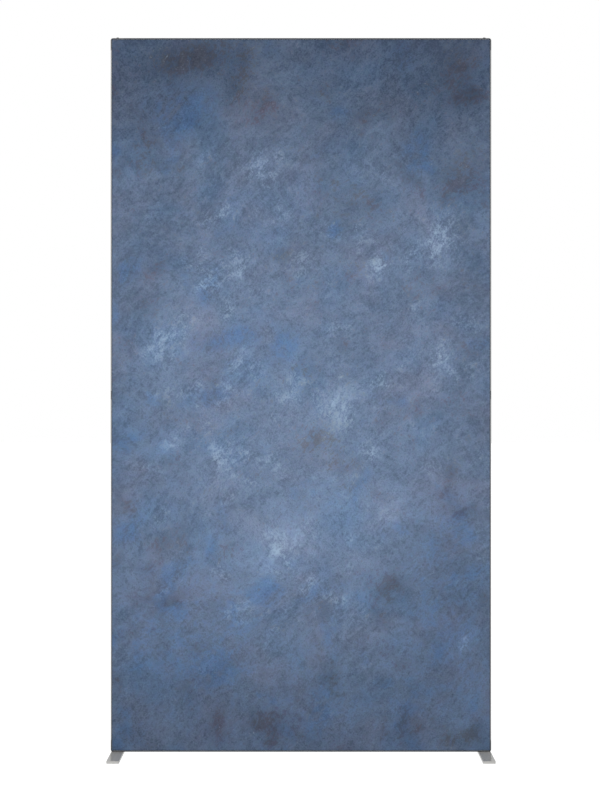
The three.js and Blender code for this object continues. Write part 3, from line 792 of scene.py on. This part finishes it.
def make_fabric():
    """One cloth with its edges turned back into the frame's groove. Its points carry the masks that
    the paint reads."""
    low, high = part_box("fabric_face")
    edge_x = (high.x - low.x) / 2 + FABRIC_OVERHANG - FABRIC_THICKNESS / 2
    edge_z = (high.z - low.z) / 2 + FABRIC_OVERHANG - FABRIC_THICKNESS / 2
    middle_z = (high.z + low.z) / 2
    across = flat_places(edge_x, CELLS_ACROSS)
    upward = flat_places(edge_z, CELLS_UP)
    flat_x, flat_z = np.meshgrid(across, upward, indexing="ij")
    x, behind_x = folded(flat_x, edge_x)
    z, behind_z = folded(flat_z, edge_z)
    y = low.y + FABRIC_THICKNESS / 2 + FABRIC_SINK + np.maximum(behind_x, behind_z)
    z = z + middle_z
    points = np.stack([x, y, z], axis=-1).reshape(-1, 3)

    # The four corners are notched, so that the hems don't lie on each other.
    cells = grid_quads(*x.shape)
    i, j = np.indices(cells.shape[:2])
    beside = (i < NOTCH_CELLS) | (i >= cells.shape[0] - NOTCH_CELLS)
    above = (j < NOTCH_CELLS) | (j >= cells.shape[1] - NOTCH_CELLS)
    used, quads = np.unique(cells[~(beside & above)], return_inverse=True)
    quads = quads.reshape(-1, 4)
    fabric = new_piece("printed_fabric", points[used].tolist(), quads.tolist())

    masks = {
        "light": soft_marks(x, z, CLOUDS),
        "blue": soft_marks(x, z, BLUES),
        "umber": soft_marks(x, z, UMBERS),
        "pale": soft_marks(x, z, DABS),
        # Painted shade along the edges where the cloth turns into the groove.
        "groove_shade": np.maximum(shade_in_groove(flat_x, edge_x), shade_in_groove(flat_z, edge_z)),
    }
    for name, values in masks.items():
        attribute = fabric.data.attributes.new(name, "FLOAT", "POINT")
        attribute.data.foreach_set("value", values.reshape(-1)[used].astype(np.float32))
    fabric.data.shade_smooth()
    fit(fabric, "frame", "fabric", finish["canvas"], "fabric_face")
    fabric.data.materials.append(finish["canvas_back"])
    thickness = fabric.modifiers.new("thickness", "SOLIDIFY")
    thickness.thickness = FABRIC_THICKNESS
    thickness.offset = 0
    thickness.material_offset = 1


# ---------------------------------------------------------------- frame and fittings


def finish_frame():
    """Profiles keep their CAD shape. The connectors get rounded edges."""
    dark = finish["connector"]
    for side in SIDES:
        for part in ("upright_lower", "upright_upper"):
            assign(f"{part}_{side}", "upright")
        assign(f"edge_strip_{side}", "silicone")
        softened(f"joiner_{side}", f"mid_joiner_{side}", "connector", dark, EDGE_ROUND["joiner"])
        for end in ENDS:
            place = f"{end}_{side}"
            softened(f"corner_{place}", f"corner_block_{place}", "connector", dark, EDGE_ROUND["corner"])
    for end in ENDS:
        assign(f"rail_{end}", "rail")
        assign(f"edge_strip_{end}", "silicone")
    assign("cross_brace", "rail")


def assign(node, name):
    """Gives a CAD node that stays as it is its finish."""
    piece = frame["nodes"][node]
    piece.data.materials.clear()
    piece.data.materials.append(finish[name])


def rounded(radius, along, direction, bend, steps=5):
    """Profile points of a rounded outer edge that ends at (radius, along). The piece lies on the
    far side of the edge from direction."""
    angle = np.linspace(0, math.pi / 2, steps)
    if direction < 0:
        angle = angle[::-1]
    out = radius - bend + bend * np.cos(angle)
    up = along + direction * bend * (np.sin(angle) - 1)
    return list(zip(out, up))


def turned_part(node, name, axis, profile, slot, material):
    """A finer turned piece in place of a CAD node, on the same axis."""
    low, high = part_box(node)
    piece = turned(name, (low + high) / 2, axis, profile)
    smooth(piece)
    fit(piece, body_of_node(node), slot, material, node)


COIL_TURNS = 6
COIL_STEPS = 24  # to the turn
WIRE_RADIUS = 0.5 * MM
WIRE_SIDES = 8


def coil_spring(node):
    """A round wire wound from the bottom of the CAD spring's box to its top. The wire's centre is
    at (r cos a, r sin a, z), with z rising evenly but for a flat half turn at each end, and its
    section lies across the way the wire runs."""
    low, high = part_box(node)
    middle = (low + high) / 2
    length = high.z - low.z
    radius = (high.x - low.x) / 2 - WIRE_RADIUS
    share = np.linspace(0, 1, COIL_TURNS * COIL_STEPS + 1)
    rise = np.clip((share - 0.5 / COIL_TURNS) / (1 - 1 / COIL_TURNS), 0, 1)
    angle = share * COIL_TURNS * 2 * math.pi
    centre_x = middle.x + radius * np.cos(angle)
    centre_y = middle.y + radius * np.sin(angle)
    centre_z = low.z + WIRE_RADIUS + rise * (length - 2 * WIRE_RADIUS)
    centre = np.stack([centre_x, centre_y, centre_z], axis=-1)
    outward = np.stack([np.cos(angle), np.sin(angle), np.zeros_like(angle)], axis=-1)
    upward = np.array([0.0, 0.0, 1.0])
    around = np.arange(WIRE_SIDES) * 2 * math.pi / WIRE_SIDES
    section = np.cos(around)[:, None, None] * outward + np.sin(around)[:, None, None] * upward
    points = centre + WIRE_RADIUS * section
    quads = grid_quads(WIRE_SIDES, len(share), closed=True).reshape(-1, 4).tolist()
    starts = np.arange(WIRE_SIDES) * len(share)
    caps = [starts.tolist(), (starts + len(share) - 1).tolist()]
    name = node.replace("lock_spring", "coil_spring")
    piece = new_piece(name, points.reshape(-1, 3).tolist(), quads + caps)
    weld(piece)
    smooth(piece, 60)
    fit(piece, "frame", "spring", finish["spring"], node)
    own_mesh(piece)


def leaf_spring(node):
    """The bent strip under a snap button."""
    piece = copy_of(node, node.replace("snap_spring", "leaf_spring"))
    smooth(piece, 30)
    fit(piece, "frame", "spring", finish["spring"], node)
    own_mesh(piece)


def finish_feet():
    for side in SIDES:
        softened(f"foot_plate_{side}", f"bar_foot_{side}", "foot", finish["foot"], EDGE_ROUND["foot"])
        assign(f"foot_screw_{side}", "steel")
        assign(f"foot_bush_{side}", "brass")
        for place in ("front", "back"):
            finish_pad(f"foot_pad_{place}_{side}", f"foot_disc_{place}_{side}")


def finish_pad(node, name):
    low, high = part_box(node)
    radius = (high.x - low.x) / 2
    profile = [
        (0, low.z),
        *rounded(radius, low.z, -1, EDGE_ROUND["pad"]),
        *rounded(radius, high.z, 1, EDGE_ROUND["pad"]),
        (0, high.z),
    ]
    turned_part(node, name, "z", profile, "rubber", finish["rubber"])


LOCK_BUTTON = {"wall": 1.7 * MM, "cup": 4 * MM, "dome": 1.2 * MM}
SNAP_BUTTON = {"flange": 1.6 * MM, "flange_height": 1.5 * MM, "dome": 1.6 * MM}
DOME_STEPS = 9


def finish_lock(side):
    """The domed button on top, its spring, and the rod and pin that it works."""
    node = f"lock_button_{side}"
    low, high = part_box(node)
    radius = (high.x - low.x) / 2
    socket = radius - LOCK_BUTTON["wall"]
    inside = low.z + LOCK_BUTTON["cup"]
    profile = [
        (0, inside),
        (socket, inside),
        (socket, low.z),
        *rounded(radius, low.z, -1, EDGE_ROUND["button"]),
        *rounded(radius, high.z, 1, LOCK_BUTTON["dome"], DOME_STEPS),
        (0, high.z),
    ]
    turned_part(node, f"top_button_{side}", "z", profile, "steel", finish["button"])
    coil_spring(f"lock_spring_{side}")
    for part in ("lock_rod", "latch_pin"):
        assign(f"{part}_{side}", "steel")


def finish_snap(place, side):
    """A flanged button with a domed tip, and its leaf spring."""
    node = f"snap_button_{place}_{side}"
    low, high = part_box(node)
    flange = (high.x - low.x) / 2
    stem = flange - SNAP_BUTTON["flange"]
    shoulder = low.y + SNAP_BUTTON["flange_height"]
    profile = [
        (0, low.y),
        *rounded(flange, low.y, -1, EDGE_ROUND["button"]),
        *rounded(flange, shoulder, 1, EDGE_ROUND["button"]),
        (stem, shoulder),
        *rounded(stem, high.y, 1, SNAP_BUTTON["dome"], DOME_STEPS),
        (0, high.y),
    ]
    turned_part(node, f"button_{place}_{side}", "y", profile, "steel", finish["steel"])
    leaf_spring(f"snap_spring_{place}_{side}")


def finish_fittings():
    steel = finish["steel"]
    for side in SIDES:
        finish_lock(side)
        for place in ("lower", "upper", "brace"):
            finish_snap(place, side)
        for place in ("bottom", "top", "joiner"):
            end = f"{place}_{side}"
            softened(f"frame_screw_{end}", f"pan_screw_{end}", "steel", steel, EDGE_ROUND["screw"])


# ---------------------------------------------------------------- studio


FLOOR_HALF = 40.0


def add_floor():
    low, high = -FLOOR_HALF, FLOOR_HALF
    corners = [(low, low, 0), (high, low, 0), (high, high, 0), (low, high, 0)]
    floor = new_piece("floor", corners, [(0, 1, 2, 3)])
    material, _, shader = new_material("pale_floor")
    shader["Base Color"].default_value = rgb(0.3, 0.3, 0.3)
    shader["Roughness"].default_value = 0.9
    shader["Specular IOR Level"].default_value = 0.1
    shader["Emission Color"].default_value = rgb(1, 1, 1)
    shader["Emission Strength"].default_value = 0.9
    floor.data.materials.append(material)


def add_soft_light(name, place, target, width, height, power):
    data = bpy.data.lights.new(name, "AREA")
    data.shape = "RECTANGLE"
    data.size = width
    data.size_y = height
    data.energy = power
    light = bpy.data.objects.new(name, data)
    light.location = place
    way = np.array(target) - np.array(place)
    level = math.hypot(way[0], way[1])
    light.rotation_euler = (math.pi / 2 + math.atan2(way[2], level), 0, math.atan2(-way[0], way[1]))
    bpy.context.scene.collection.objects.link(light)


def add_studio():
    world = bpy.data.worlds.new("white_studio")
    world.use_nodes = True
    background = world.node_tree.nodes["Background"]
    background.inputs["Color"].default_value = rgb(1, 1, 1)
    background.inputs["Strength"].default_value = 1.0
    bpy.context.scene.world = world
    add_soft_light("key", (-3.2, -5.0, 3.4), (0, 0, 1.2), 2.4, 2.4, 90)
    bpy.context.scene.view_settings.view_transform = "Standard"
    add_floor()


# ---------------------------------------------------------------- the whole wall

add_camera()
make_fabric()
finish_frame()
finish_feet()
finish_fittings()
add_studio()
